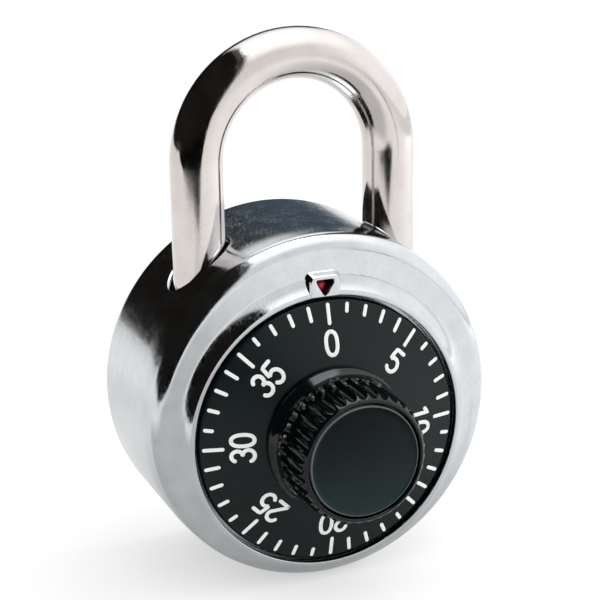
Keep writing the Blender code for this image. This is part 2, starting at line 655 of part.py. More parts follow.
MADE = [outer_shell(), index_marker(), inner_case(), bearing_plate()]
MADE += [dial(), knob(), knob_cap(), spindle(), spindle_ring(), spindle_bushing()]
MADE.append(wave_washer("dial_spring", 4.6 * MM, 8.2 * MM, 22.55 * MM, 0.7 * MM, 0.3 * MM, DIAL_FRAME,
                        SPRING_STEEL))
MADE += [drive_cam(), wheel_post(), spacer("spacer_1", 4.5 * MM), spacer("spacer_2", 6.5 * MM)]
MADE.append(wheel("wheel_2", WHEEL_2_LOW, 215, (("front", 0), ("rear", 0)), WHEEL_2_FRAME))
MADE.append(wheel("wheel_1", WHEEL_1_LOW, 130, (("front", 180),), WHEEL_1_FRAME))
MADE.append(wave_washer("wheel_spring", 2.8 * MM, 5.6 * MM, 2.5 * MM, 0.2 * MM, 0.2 * MM, DIAL_FRAME,
                        SPRING_STEEL))
MADE += [latch(), fence_bar(), latch_post(), latch_clip(), latch_spring(), spring_pin()]
MADE += [shackle(), heel_ring(), heel_guide()]
MADE += [guide_rivet(f"guide_rivet_{i + 1}", *place_at) for i, place_at in enumerate(RIVETS)]
for piece in MADE:
    shade(piece)
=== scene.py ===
"""Looks of the combination padlock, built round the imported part.

Shapes are laid out in millimetres in the lock's own frame: x to the right, z up and d (depth) out of
the front. The world has the same x and z, and its -Y is the depth.
"""

import json
import math

import bmesh
import bpy
import numpy as np
from mathutils import Matrix, Vector

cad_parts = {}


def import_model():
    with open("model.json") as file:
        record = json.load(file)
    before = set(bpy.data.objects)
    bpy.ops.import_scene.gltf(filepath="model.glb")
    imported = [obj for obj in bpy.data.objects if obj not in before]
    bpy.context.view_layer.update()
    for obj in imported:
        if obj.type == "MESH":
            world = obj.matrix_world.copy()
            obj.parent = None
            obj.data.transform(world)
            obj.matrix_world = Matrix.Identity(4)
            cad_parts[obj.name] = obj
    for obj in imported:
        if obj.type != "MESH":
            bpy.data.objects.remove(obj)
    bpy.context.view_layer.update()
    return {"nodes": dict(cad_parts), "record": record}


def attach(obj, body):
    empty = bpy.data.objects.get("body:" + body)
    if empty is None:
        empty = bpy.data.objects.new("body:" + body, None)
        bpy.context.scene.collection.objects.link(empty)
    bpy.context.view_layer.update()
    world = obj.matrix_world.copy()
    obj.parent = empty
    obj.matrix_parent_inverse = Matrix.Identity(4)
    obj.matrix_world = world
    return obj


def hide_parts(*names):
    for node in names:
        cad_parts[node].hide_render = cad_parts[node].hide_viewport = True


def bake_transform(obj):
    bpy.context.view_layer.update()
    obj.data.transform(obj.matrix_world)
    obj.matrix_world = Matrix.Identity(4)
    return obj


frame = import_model()

MM = 0.001

# Casing: the wall narrows from BODY_R to FRONT_R in front of TAPER_D, and its rim rolls in at the back
BODY_R = 24.0
FRONT_R = 23.8
TAPER_D = 17.2
FACE_D = 22.7
FRONT_ROUND = 2.0
FLAT_R = FRONT_R - FRONT_ROUND
WALL_D = FACE_D - FRONT_ROUND
BACK_ROUND = 2.0
RIM_R = 20.9
RIM_D = 0.9
SKIN = 0.55
COLUMNS = 360

# Lip round the dial, on an axis below the middle of the body: a bead, then a flank that slopes to the
# face. Its foot is FOOT_R from the dial's axis, or FOOT_REACH from the body's where that comes first
DIAL_Z = -2.7
LIP_R = 18.6
BEAD_R = 0.16
FLANK_R = 19.3
FLANK_D = 23.62
FOOT_R = 21.15
FOOT_REACH = 23.45

# Index window
INDEX_R = 19.75
INDEX_X = -0.35
HOOD_D = 23.72

# Dial's cone, from its shoulder up to its middle, and what is printed on it
SHOULDER_R, SHOULDER_D = 17.75, 23.5
CROWN_R, CROWN_D = 9.9, 25.55
MARK_R = 17.7
MARK_WIDTH = 0.5
MARK_LENGTHS = (2.83, 1.38, 1.63, 1.85, 2.09)
DIGIT_R = 12.57
DIGIT_HIGH = 3.05
BOX_HIGH = 1.72
DIGIT_PITCH = 2.15
STROKE = 0.52

# Knob
KNOB_R = 8.9
FLUTES = 36
FLUTE_R = 0.72
FLUTE_FOOT = 29.35

# Shackle
BAR_R = 3.5
LEG_X = 13.6
LEG_D = 12.5
BOW_Z = 32.25
TOE_Z = 10.0
HEEL_Z = -11.5
HOLE_R = 3.85

# Latch
LATCH_POST = (-14.6, -9.8)


# --- meshes ---------------------------------------------------------------------------------------

def mesh_piece(name, points, faces, finish, sharp=35):
    """A mesh from points (x, z, d) in millimetres."""
    points = np.asarray(points, float)
    world = np.column_stack([points[:, 0], -points[:, 2], points[:, 1]]) * MM
    mesh = bpy.data.meshes.new(name)
    mesh.from_pydata(world.tolist(), [], faces)
    mesh.validate()
    face_outward(mesh)
    mesh.shade_smooth()
    if sharp:
        mesh.set_sharp_from_angle(angle=math.radians(sharp))
    obj = bpy.data.objects.new(name, mesh)
    bpy.context.scene.collection.objects.link(obj)
    mesh.materials.append(finish)
    return obj


def face_outward(mesh):
    """Turns a closed mesh's faces outward, and leaves an open one as it is."""
    made = bmesh.new()
    made.from_mesh(mesh)
    if all(edge.is_manifold for edge in made.edges):
        bmesh.ops.recalc_face_normals(made, faces=made.faces)
    made.to_mesh(mesh)
    made.free()


def lathe(name, profile, finish, columns=256, centre=(0.0, DIAL_Z), sharp=35, radius=None):
    """A turned solid about the depth axis. The profile is a list of (r, d) down the outer side, and a row
    with r = 0 closes to a single point. radius(angle, r, d) may change each radius."""
    angles = np.linspace(0, 2 * math.pi, columns, endpoint=False)
    points, rows = [], []
    for r, d in profile:
        if r < 1e-6:
            rows.append([len(points)] * columns)
            points.append((centre[0], centre[1], d))
            continue
        radii = radius(angles, r, d) if radius else np.full(columns, r)
        rows.append(list(range(len(points), len(points) + columns)))
        points += [(centre[0] + q * math.sin(a), centre[1] + q * math.cos(a), d)
                   for q, a in zip(radii, angles)]
    closed = profile[0][0] > 1e-6
    faces = band_faces(rows, wrap_rows=closed)
    return mesh_piece(name, points, faces, finish, sharp)


def band_faces(rows, wrap_rows=False):
    """Faces between rows of vertex numbers; repeated numbers make triangles."""
    faces = []
    pairs = list(zip(rows[:-1], rows[1:]))
    if wrap_rows:
        pairs.append((rows[-1], rows[0]))
    count = len(rows[0])
    for upper, lower in pairs:
        for i in range(count):
            j = (i + 1) % count
            face = [upper[i], upper[j], lower[j], lower[i]]
            face = [v for k, v in enumerate(face) if v != face[k - 1]]
            if len(face) > 2:
                faces.append(face)
    return faces


def arc(r, d, radius, start, end, steps):
    """Profile points along an arc, angles in degrees from the radial direction."""
    angles = [math.radians(start + (end - start) * i / steps) for i in range(steps + 1)]
    return [(r + radius * math.cos(a), d + radius * math.sin(a)) for a in angles]


def spline(points, steps):
    """A smooth line through points."""
    points = [np.array(p, float) for p in points]
    padded = [2 * points[0] - points[1], *points, 2 * points[-1] - points[-2]]
    line = []
    for a, b, c, e in zip(padded[:-3], padded[1:-2], padded[2:-1], padded[3:]):
        for t in np.linspace(0, 1, steps, endpoint=False):
            line.append(0.5 * (2 * b + (c - a) * t + (2 * a - 5 * b + 4 * c - e) * t ** 2
                               + (3 * b - a - 3 * c + e) * t ** 3))
    line.append(points[-1])
    return line


# --- node materials -------------------------------------------------------------------------------

class Nodes:
    """A node tree, with short calls for the nodes that the finishes and the world use."""

    def __init__(self, tree):
        self.nodes, self.links = tree.nodes, tree.links

    def add(self, kind, **settings):
        node = self.nodes.new(kind)
        for key, value in settings.items():
            setattr(node, key, value)
        return node

    def put(self, socket, value):
        if isinstance(value, bpy.types.NodeSocket):
            self.links.new(value, socket)
        else:
            socket.default_value = value

    def math(self, operation, a, b=0.0, c=0.0):
        node = self.add("ShaderNodeMath", operation=operation)
        for socket, value in zip(node.inputs, (a, b, c)):
            self.put(socket, value)
        return node.outputs[0]

    def radius(self, x, z):
        """Distance from the depth axis."""
        squares = self.math("ADD", self.math("MULTIPLY", x, x), self.math("MULTIPLY", z, z))
        return self.math("SQRT", squares)

    def span(self, value, low, high, to_low=0.0, to_high=1.0):
        """to_low where value is low, to_high where it is high, and a straight line between."""
        node = self.add("ShaderNodeMapRange")
        for socket, number in zip(node.inputs[:5], (value, low, high, to_low, to_high)):
            self.put(socket, number)
        return node.outputs[0]

    def ease(self, value, start, stop):
        """0 at start and 1 at stop, with soft ends."""
        node = self.add("ShaderNodeMapRange", interpolation_type="SMOOTHSTEP")
        limits = (min(start, stop), max(start, stop), float(start > stop), float(start < stop))
        for socket, number in zip(node.inputs[:5], (value, *limits)):
            self.put(socket, number)
        return node.outputs[0]

    def mix(self, share, a, b):
        """Colour a where share is 0 and b where it is 1."""
        node = self.add("ShaderNodeMix", data_type="RGBA")
        self.put(node.inputs[0], share)
        self.put(node.inputs[6], (*a, 1.0) if isinstance(a, tuple) else a)
        self.put(node.inputs[7], (*b, 1.0) if isinstance(b, tuple) else b)
        return node.outputs[2]


class Tree(Nodes):
    """A material of one shader, whose textures lie in the object's own coordinates."""

    def __init__(self, name):
        self.material = bpy.data.materials.new(name)
        self.material.use_nodes = True
        super().__init__(self.material.node_tree)
        self.shader = self.nodes["Principled BSDF"]
        self.place = self.add("ShaderNodeTexCoord").outputs["Object"]

    def scaled(self, scale):
        """Object coordinates in millimetres times a scale on each axis."""
        node = self.add("ShaderNodeVectorMath", operation="MULTIPLY")
        self.put(node.inputs[0], self.place)
        scale = (scale,) * 3 if isinstance(scale, (int, float)) else scale
        node.inputs[1].default_value = [s / MM for s in scale]
        return node.outputs[0]

    def noise(self, vector, detail=2.0, roughness=0.5, distortion=0.0):
        node = self.add("ShaderNodeTexNoise")
        self.put(node.inputs["Vector"], vector)
        node.inputs["Scale"].default_value = 1.0
        node.inputs["Detail"].default_value = detail
        node.inputs["Roughness"].default_value = roughness
        node.inputs["Distortion"].default_value = distortion
        return node.outputs["Fac"]

    def xyz(self):
        node = self.add("ShaderNodeSeparateXYZ")
        self.put(node.inputs[0], self.scaled(1.0))
        return node.outputs

    def round_place(self, centre_z, across, along, around):
        """Coordinates that follow circles about the depth axis: radius, depth and angle, each scaled."""
        x, y, z = self.xyz()
        z = self.math("SUBTRACT", z, centre_z)
        angle = self.math("ARCTAN2", x, z)
        node = self.add("ShaderNodeCombineXYZ")
        self.put(node.inputs[0], self.math("MULTIPLY", self.radius(x, z), across))
        self.put(node.inputs[1], self.math("MULTIPLY", y, along))
        self.put(node.inputs[2], self.math("MULTIPLY", angle, around))
        return node.outputs[0]

    def brushed(self, scale, tilt):
        """Noise drawn out along the depth axis, leaning to one side by tilt."""
        node = self.add("ShaderNodeMapping")
        self.put(node.inputs["Vector"], self.scaled(1.0))
        node.inputs["Rotation"].default_value = (0.25 * tilt, 0.0, tilt)
        node.inputs["Scale"].default_value = scale
        return self.noise(node.outputs[0], detail=4.0, roughness=0.75, distortion=0.3)

    def scratches(self, scale, amount, seed):
        """Sparse fine lines, where a stretched noise crosses its middle level."""
        node = self.add("ShaderNodeMapping")
        self.put(node.inputs["Vector"], self.scaled(1.0))
        node.inputs["Rotation"].default_value = (0.4 + seed, 0.9 * seed, 1.3 + 2.1 * seed)
        node.inputs["Scale"].default_value = scale
        level = self.noise(node.outputs[0], detail=3.0, roughness=0.6)
        line = self.math("ABSOLUTE", self.math("SUBTRACT", level, 0.5))
        return self.span(line, 0.0, amount, 1.0, 0.0)

    def bump(self, height, strength, distance):
        node = self.add("ShaderNodeBump")
        node.inputs["Strength"].default_value = strength
        node.inputs["Distance"].default_value = distance * MM
        self.put(node.inputs["Height"], height)
        return node.outputs["Normal"]

    def set(self, **sockets):
        for name, value in sockets.items():
            socket = self.shader.inputs[name.replace("_", " ")]
            if isinstance(value, tuple):
                value = (*value, 1.0)
            self.put(socket, value)
        return self.material


def casing_steel():
    """Stainless steel: polished all over, with fine crossing scratches on the side wall, faint lines round
    it and a few deeper marks."""
    t = Tree("polished_steel")
    _, y, z = t.xyz()
    wall = t.span(y, -22.6, -20.6)  # 0 on the face, 1 on the side wall
    grain = t.noise(t.scaled(9.0), detail=4.0, roughness=0.65)
    cloud = t.noise(t.scaled(0.35), detail=3.0)
    lines = t.noise(t.round_place(0.0, 7.0, 9.0, 3.0), detail=4.0, roughness=0.7)
    one_way = t.brushed((10.0, 1.0, 10.0), 0.62)
    other_way = t.brushed((10.0, 1.1, 10.0), -0.75)
    speckle = t.noise(t.scaled(4.5), detail=5.0, roughness=0.8)
    hatch = t.math("MAXIMUM", t.span(one_way, 0.50, 0.72), t.span(other_way, 0.52, 0.74))
    hatch = t.math("MULTIPLY", hatch, t.span(speckle, 0.40, 0.58, 0.35, 1.4))
    hatch = t.math("MULTIPLY", t.math("MULTIPLY", hatch, wall), t.span(cloud, 0.25, 0.65, 0.35, 1.0))
    scratch = t.math("MAXIMUM", t.scratches((0.25, 2.2, 0.3), 0.006, 0.3),
                     t.scratches((1.8, 0.2, 0.35), 0.005, 1.1))
    rough = t.math("ADD", t.span(cloud, 0.3, 0.7, 0.05, 0.09), t.span(grain, 0.4, 0.8, 0.0, 0.05))
    rough = t.math("ADD", rough, t.math("MULTIPLY", hatch, t.span(z, 12.0, 23.0, 0.07, 0.27)))
    rough = t.math("ADD", rough, t.math("MULTIPLY", scratch, 0.12))
    colour = t.mix(t.span(cloud, 0.3, 0.7), (0.565, 0.585, 0.60), (0.63, 0.65, 0.665))
    colour = t.mix(t.math("MULTIPLY", scratch, 0.35), colour, (0.45, 0.46, 0.47))
    height = t.math("ADD", t.math("MULTIPLY", lines, 0.35), t.math("MULTIPLY", hatch, -0.9))
    height = t.math("ADD", height, t.math("MULTIPLY", scratch, -0.4))
    normal = t.bump(height, 0.16, 0.02)
    return t.set(Base_Color=colour, Metallic=1.0, Roughness=rough, Normal=normal)


def shackle_steel():
    """Bright plated bar with faint lines along its length, small pits and a warm cast."""
    t = Tree("shackle_steel")
    draw = t.noise(t.scaled((7.0, 7.0, 0.25)), detail=4.0, roughness=0.7)
    pits = t.noise(t.scaled((6.0, 6.0, 3.0)), detail=3.0, roughness=0.8)
    cloud = t.noise(t.scaled(0.25), detail=3.0)
    scratch = t.scratches((1.6, 0.3, 0.3), 0.006, 0.7)
    rough = t.math("ADD", t.span(cloud, 0.3, 0.7, 0.06, 0.12), t.span(pits, 0.55, 0.8, 0.0, 0.12))
    rough = t.math("ADD", rough, t.math("MULTIPLY", scratch, 0.12))
    colour = t.mix(t.span(cloud, 0.3, 0.7), (0.60, 0.558, 0.538), (0.68, 0.643, 0.624))
    height = t.math("ADD", t.math("MULTIPLY", draw, 0.6), t.math("MULTIPLY", pits, 0.4))
    height = t.math("ADD", height, t.math("MULTIPLY", scratch, -0.3))
    return t.set(Base_Color=colour, Metallic=1.0, Roughness=rough, Normal=t.bump(height, 0.14, 0.02))


def plated(name, dark, light, low, high):
    """A plain plated or turned metal: colour clouds, grain and a little relief. Its roughness is low to
    high."""
    t = Tree(name)
    cloud = t.noise(t.scaled(0.4), detail=4.0, roughness=0.6)
    grain = t.noise(t.scaled(4.0), detail=4.0, roughness=0.7)
    scratch = t.scratches((1.5, 0.25, 0.3), 0.008, 1.9)
    rough = t.math("ADD", t.span(cloud, 0.3, 0.7, low, high), t.math("MULTIPLY", scratch, 0.1))
    colour = t.mix(t.span(t.math("ADD", cloud, t.math("MULTIPLY", grain, 0.4)), 0.45, 0.95), dark, light)
    return t.set(Base_Color=colour, Metallic=1.0, Roughness=rough, Normal=t.bump(grain, 0.2, 0.03))


def back_steel():
    """Flat back: the same steel as the wall, brushed in one direction and scuffed where it hits a door."""
    t = Tree("zinc_plate")
    cloud = t.noise(t.scaled(0.22), detail=4.0, roughness=0.6)
    brush = t.noise(t.scaled((0.25, 6.0, 8.0)), detail=5.0, roughness=0.75)
    scratch = t.math("MAXIMUM", t.scratches((0.3, 1.0, 2.0), 0.010, 0.2),
                     t.scratches((1.2, 1.0, 0.16), 0.008, 2.3))
    rough = t.math("ADD", t.span(cloud, 0.3, 0.7, 0.22, 0.34), t.math("MULTIPLY", scratch, 0.15))
    rough = t.math("ADD", rough, t.span(brush, 0.3, 0.7, -0.04, 0.06))
    colour = t.mix(t.span(cloud, 0.3, 0.7), (0.50, 0.515, 0.53), (0.62, 0.635, 0.65))
    colour = t.mix(t.math("MULTIPLY", scratch, 0.3), colour, (0.76, 0.77, 0.78))
    height = t.math("ADD", brush, t.math("MULTIPLY", scratch, -0.5))
    return t.set(Base_Color=colour, Metallic=1.0, Roughness=rough, Normal=t.bump(height, 0.25, 0.02))


def black(name, colour, worn, low, high, grain_scale, relief, shine, rim_glint_r=None):
    """Black finish: fine grain, clouds of gloss, a few worn spots and dust-fine specks. Its roughness is
    low to high. Given a rim radius, for the knob's cap, it carries a painted highlight ring beyond that
    radius and painted shading that leaves it paler low down."""
    t = Tree(name)
    grain = t.noise(t.scaled(grain_scale), detail=3.0, roughness=0.6)
    cloud = t.noise(t.scaled(0.3), detail=4.0, roughness=0.6)
    specks = t.span(t.noise(t.scaled(3.2), detail=1.0), 0.76, 0.80)
    scratch = t.scratches((1.1, 0.3, 0.25), 0.004, 0.9)
    wear = t.math("MAXIMUM", t.math("MULTIPLY", specks, 0.5), t.math("MULTIPLY", scratch, 0.25))
    rough = t.math("ADD", t.span(cloud, 0.3, 0.7, low, high), t.math("MULTIPLY", wear, 0.12))
    tone = t.mix(t.span(cloud, 0.3, 0.7), colour, tuple(1.35 * c for c in colour))
    tone = t.mix(wear, tone, worn)
    if rim_glint_r:
        x, _, z = t.xyz()
        z = t.math("SUBTRACT", z, DIAL_Z)
        # Painted highlight: a paler ring beyond the rim radius, standing in for light caught by the cap's
        # edge
        painted_rim_glint = t.math("MULTIPLY", t.span(t.radius(x, z), rim_glint_r, rim_glint_r + 0.1),
                        t.span(grain, 0.3, 0.6, 0.5, 1.0))
        # Painted shading: the cap's colour is paler low down and darker at the top
        lower = t.span(t.math("ADD", z, t.math("MULTIPLY", cloud, 4.0)), 7.5, -4.5)
        tone = t.mix(lower, tone, (0.014, 0.024, 0.025))
        tone = t.mix(painted_rim_glint, tone, (0.16, 0.18, 0.185))
    normal = t.bump(grain, relief, 0.03)
    return t.set(Base_Color=tone, Roughness=rough, Specular_IOR_Level=shine, Normal=normal)


def enamel(name, colour, shade, roughness):
    """Filled paint: slightly uneven, with small dark wear."""
    t = Tree(name)
    cloud = t.noise(t.scaled(1.2), detail=4.0, roughness=0.7)
    chips = t.span(t.noise(t.scaled(2.6), detail=3.0), 0.68, 0.74)
    tone = t.mix(t.span(cloud, 0.3, 0.7), shade, colour)
    tone = t.mix(t.math("MULTIPLY", chips, 0.5), tone, tuple(0.45 * c for c in shade))
    rough = t.span(cloud, 0.3, 0.7, roughness - 0.06, roughness + 0.08)
    return t.set(Base_Color=tone, Roughness=rough, Normal=t.bump(cloud, 0.15, 0.02))


# --- casing ---------------------------------------------------------------------------------------

def face_height(rho):
    """Depth of the casing's front at a distance from the body's axis: flat, then a quarter round."""
    over = np.clip(rho - FLAT_R, 0, FRONT_ROUND)
    return WALL_D + np.sqrt(FRONT_ROUND ** 2 - over ** 2)


def face_slope(rho):
    """Fall of the casing's front there, held back just before it is upright."""
    over = np.clip(rho - FLAT_R, 0, FRONT_ROUND * 0.97)
    return -over / np.sqrt(FRONT_ROUND ** 2 - over ** 2)


def casing_rows():
    """Rows of points from inside the lip, over it and the face, along the wall and in at the back."""
    turn = np.linspace(0, 2 * math.pi, COLUMNS, endpoint=False)
    sin, cos = np.sin(turn), np.cos(turn)
    rows = []

    def about_dial(r, d):
        rows.append(np.column_stack([r * sin, DIAL_Z + r * cos, np.broadcast_to(d, turn.shape)]))

    bead = arc(LIP_R + BEAD_R, FLANK_D - 0.12, BEAD_R, 180, 90, 6)
    for r, d in [(LIP_R, 21.95), (LIP_R, 22.8), *bead, (19.0, FLANK_D + 0.05), (19.14, FLANK_D + 0.05),
                 (19.23, FLANK_D + 0.035), (FLANK_R, FLANK_D)]:
        about_dial(np.full(COLUMNS, r), d)
    # The flank: from beside the bead down to the face, shorter below, where the body's edge is near
    drop = -DIAL_Z
    reach = drop * cos + np.sqrt((drop * cos) ** 2 - drop ** 2 + FOOT_REACH ** 2)
    soft = 0.15
    foot = -soft * np.logaddexp(-FOOT_R / soft, -reach / soft)
    rho = np.hypot(foot * sin, DIAL_Z + foot * cos)
    low, end_slope = face_height(rho), np.minimum(face_slope(rho), -0.16)
    width = foot - FLANK_R
    for t in np.linspace(0, 1, 13)[1:]:
        h00, h10 = 2 * t ** 3 - 3 * t ** 2 + 1, t ** 3 - 2 * t ** 2 + t
        h01, h11 = -2 * t ** 3 + 3 * t ** 2, t ** 3 - t ** 2
        d = h00 * FLANK_D + h10 * width * -1.0 + h01 * low + h11 * width * end_slope
        about_dial(FLANK_R + width * t, d)
    # The face and its outer round, spaced evenly along the surface
    on_round = FRONT_ROUND * np.arcsin(np.clip((rho - FLAT_R) / FRONT_ROUND, 0, 1))
    start = np.where(rho < FLAT_R, rho, FLAT_R + on_round)
    end = FLAT_R + FRONT_ROUND * math.pi / 2
    begin = np.arctan2(foot * sin, DIAL_Z + foot * cos)
    swing = (turn - begin + math.pi) % (2 * math.pi) - math.pi
    for t in np.linspace(0, 1, 25)[1:]:
        s = start + (end - start) * t
        bend = np.clip((s - FLAT_R) / FRONT_ROUND, 0, math.pi / 2)
        r = np.where(s < FLAT_R, s, FLAT_R + FRONT_ROUND * np.sin(bend))
        d = FACE_D - FRONT_ROUND * (1 - np.cos(bend))
        angle = begin + swing * min(1.0, 1.6 * t)
        rows.append(np.column_stack([r * np.sin(angle), r * np.cos(angle), d]))
    wall_first = len(rows) - 1

    def about_body(r, d):
        rows.append(np.column_stack([r * sin, r * cos, np.full(COLUMNS, d)]))

    for d in np.linspace(WALL_D, BACK_ROUND, 31)[1:]:
        taper = max(d - TAPER_D, 0.0) / (WALL_D - TAPER_D)
        about_body(BODY_R - (BODY_R - FRONT_R) * taper ** 2, d)
    wall_last = len(rows) - 1
    for r, d in arc(BODY_R - BACK_ROUND, BACK_ROUND, BACK_ROUND, 0, -90, 12)[1:]:
        about_body(r, d)
    for r, d in [(21.5, 0.0), *arc(RIM_R + 0.2, 0.2, 0.2, -90, -180, 4), (RIM_R, RIM_D)]:
        about_body(r, d)
    return rows, wall_first, wall_last


def casing():
    """The pressing in one skin with leg holes and an index opening, then given its thickness."""
    rows, wall_first, wall_last = casing_rows()
    count = COLUMNS
    points = [tuple(p) for row in rows for p in row]
    skip = set()
    faces = []
    # Blocks of wall cells round the two leg holes: from 17 to 54 degrees, and 7.4 to 17.9 mm deep
    step = 360 / COLUMNS
    first, last = int(round(17 / step)), int(round(54 / step))
    depths = [rows[j][0][2] for j in range(wall_first, wall_last + 1)]
    top, low = (wall_first + next(i for i, d in enumerate(depths) if d < edge) for edge in (17.9, 7.4))
    blocks = [(first, last), (count - last, count - first)]
    for a, b in blocks:
        skip |= {(j, i) for j in range(top, low) for i in range(a, b)}
    # Opening under the index window, and a narrower one from there in to the lip's inner edge
    radii = [math.hypot(row[0][0], row[0][1] - DIAL_Z) for row in rows[:wall_first]]
    in_row, out_row = (next(j for j, r in enumerate(radii) if r > edge) for edge in (18.9, 20.9))
    skip |= {(j, i % count) for j in range(in_row, out_row) for i in range(-6, 4)}
    skip |= {(j, i % count) for j in range(in_row) for i in range(-3, 1)}
    for j in range(len(rows) - 1):
        for i in range(count):
            if (j, i) not in skip:
                k = (i + 1) % count
                faces.append([j * count + i, j * count + k, (j + 1) * count + k, (j + 1) * count + i])
    for (a, b), side in zip(blocks, (1, -1)):
        rim = [(top, i) for i in range(a, b)] + [(j, b) for j in range(top, low)]
        rim += [(low, i) for i in range(b, a, -1)] + [(j, a) for j in range(low, top, -1)]
        ring = [j * count + i % count for j, i in rim]
        faces += hole_patch(points, ring, side)
    shell = mesh_piece("casing_shell", points, faces, STEEL, sharp=0)
    thick = shell.modifiers.new("Thickness", "SOLIDIFY")
    thick.thickness = SKIN * MM
    thick.offset = -1.0
    thick.use_even_offset = False
    baked(shell)
    shell.data.shade_smooth()
    shell.data.set_sharp_from_angle(angle=math.radians(28))
    return shell


def hole_patch(points, ring, side):
    """Cells between a rectangle of wall vertices and a round hole for a leg, with a rolled edge."""
    # On the wall, a point is (angle, depth)
    start = [(math.atan2(x, z) % (2 * math.pi), d) for x, z, d in (points[v] for v in ring)]
    mid = (math.asin(LEG_X / BODY_R) * side) % (2 * math.pi)
    edge = 0.45
    around = [math.atan2(d - LEG_D, (a - mid) * BODY_R * math.cos(mid)) for a, d in start]

    def on_wall(r, turn):
        x = side * LEG_X + r * math.cos(turn)
        return math.atan2(x, math.sqrt(BODY_R ** 2 - x ** 2)) % (2 * math.pi), LEG_D + r * math.sin(turn)

    faces = []
    before = ring
    outline = [on_wall(HOLE_R + edge, turn) for turn in around]
    for t in (0.25, 0.5, 0.75, 0.9, 1.0):
        now = []
        for (a, d), (e, f) in zip(start, outline):
            angle = a + (e - a) * t
            now.append(len(points))
            points.append((BODY_R * math.sin(angle), BODY_R * math.cos(angle), d + (f - d) * t))
        faces += band_faces([before, now])
        before = now
    # The rolled edge: from the wall down into the hole
    for t in (0.2, 0.4, 0.6, 0.8, 1.0):
        now = []
        bend = t * math.pi / 2
        for turn in around:
            r = HOLE_R + edge * (1 - math.sin(bend))
            x = side * LEG_X + (HOLE_R + edge) * math.cos(turn)
            z = math.sqrt(BODY_R ** 2 - x ** 2) - edge * (1 - math.cos(bend))
            now.append(len(points))
            points.append((side * LEG_X + r * math.cos(turn), z, LEG_D + r * math.sin(turn)))
        faces += band_faces([before, now])
        before = now
    return faces


def baked(obj):
    """Applies the modifiers."""
    bpy.context.view_layer.update()
    graph = bpy.context.evaluated_depsgraph_get()
    mesh = bpy.data.meshes.new_from_object(obj.evaluated_get(graph))
    obj.modifiers.clear()
    obj.data = mesh
    return obj


def rounded(outline, radius, count):
    """Points of a closed outline with its corners rounded, evenly by direction from straight up."""
    line = []
    outline = np.array(outline, float)
    for before, corner, after in zip(np.roll(outline, 1, axis=0), outline, np.roll(outline, -1, axis=0)):
        a = corner + (before - corner) / np.linalg.norm(before - corner) * radius
        b = corner + (after - corner) / np.linalg.norm(after - corner) * radius
        for t in np.linspace(0, 1, 9):
            line.append((1 - t) ** 2 * a + 2 * t * (1 - t) * corner + t ** 2 * b)
    line = np.array(line + line[:1])
    # Directions are taken from the middle, so that outlines of different shapes match point for point
    middle = np.mean(outline, axis=0)
    turn = np.unwrap(np.arctan2(line[:, 0] - middle[0], line[:, 1] - middle[1]))
    span = np.linspace(0, 2 * math.pi, count, endpoint=False)
    order = turn if turn[-1] > turn[0] else turn[::-1]
    walk = line if turn[-1] > turn[0] else line[::-1]
    wanted = order[0] + (span - order[0]) % (2 * math.pi)
    return np.column_stack([np.interp(wanted, order, walk[:, 0]), np.interp(wanted, order, walk[:, 1])])


def lofted(name, rings, finish, sharp, closed_ring=True):
    """A solid through rings of (outline, depth): a tube when closed_ring, else with a point at each end."""
    points, rows = [], []
    for outline, d in rings:
        if len(outline) == 1:
            rows.append([len(points)] * len(rings[1][0]))
        else:
            rows.append(list(range(len(points), len(points) + len(outline))))
        points += [(x, z, d) for x, z in outline]
    return mesh_piece(name, points, band_faces(rows, wrap_rows=closed_ring), finish, sharp=sharp)


def index_parts():
    """Raised hood round the index window, its black well, and the red bead deep inside."""
    mid = DIAL_Z + INDEX_R

    def outline(radius, *corners):
        """A rounded outline, from its corners' offsets about the window's middle."""
        return rounded([(INDEX_X + x, mid + z) for x, z in corners], radius, 96)

    hole = outline(0.62, (-1.42, 1.15), (1.42, 1.15), (0.0, -1.3))
    crown = outline(0.5, (-1.85, 1.45), (1.85, 1.45), (2.05, -1.1), (-2.05, -1.1))
    foot = outline(1.0, (-2.5, 2.15), (2.5, 2.15), (2.7, -1.16), (-2.65, -1.16))
    centre = hole.mean(axis=0)

    def scaled(share):
        return centre + (hole - centre) * share

    # The hood: up inside the hole, over the flat crown and down its flank, whose foot is in the face
    foot_d = 22.62
    rings = [(scaled(1.1), 21.9), (scaled(1.1), 22.6), (hole, HOOD_D - 0.14)]
    rings += [(hole + (crown - hole) * t, HOOD_D - drop)
              for t, drop in ((0.03, 0.03), (0.1, 0), (0.4, 0), (0.7, 0))]
    for t in np.linspace(0, 1, 11):
        fall = 0.8 * (3 * t ** 2 - 2 * t ** 3) + 0.2 * t
        rings.append((crown + (foot - crown) * t, HOOD_D - (HOOD_D - foot_d) * fall))
    rings += [(foot, 22.1), (foot + (hole - foot) * 0.3, 22.1), (foot + (hole - foot) * 0.5, 21.9)]
    hood = lofted("index_frame", rings, STEEL, 40)
    # The well: its floor, up its inner wall to the rim, and down outside
    wall = [(0.90, 21.78), (0.93, 21.9), (0.93, 23.35), (0.96, 23.42), (0.99, 23.42), (1.0, 21.65)]
    rings = [([centre], 21.78), *((scaled(share), d) for share, d in wall), ([centre], 21.65)]
    well = lofted("index_well", rings, DIAL_BLACK, 40, closed_ring=False)

    def three_lobed(angles, r, _):
        return r * (1 + 0.10 * np.cos(3 * (angles - math.pi)))

    bead_r, bead_d, dome = 0.75, 22.15, 0.7
    bead = [(0.0, bead_d + dome)]
    bead += [(bead_r * math.sin(a), bead_d + dome * math.cos(a))
             for a in map(math.radians, range(10, 91, 10))]
    bead += [(bead_r, 21.8), (0.67, 21.7), (0.0, 21.7)]
    point = lathe("index_point", bead, RED, columns=48, centre=(INDEX_X - 0.15, mid + 0.05), sharp=50,
                  radius=three_lobed)
    return hood, well, point


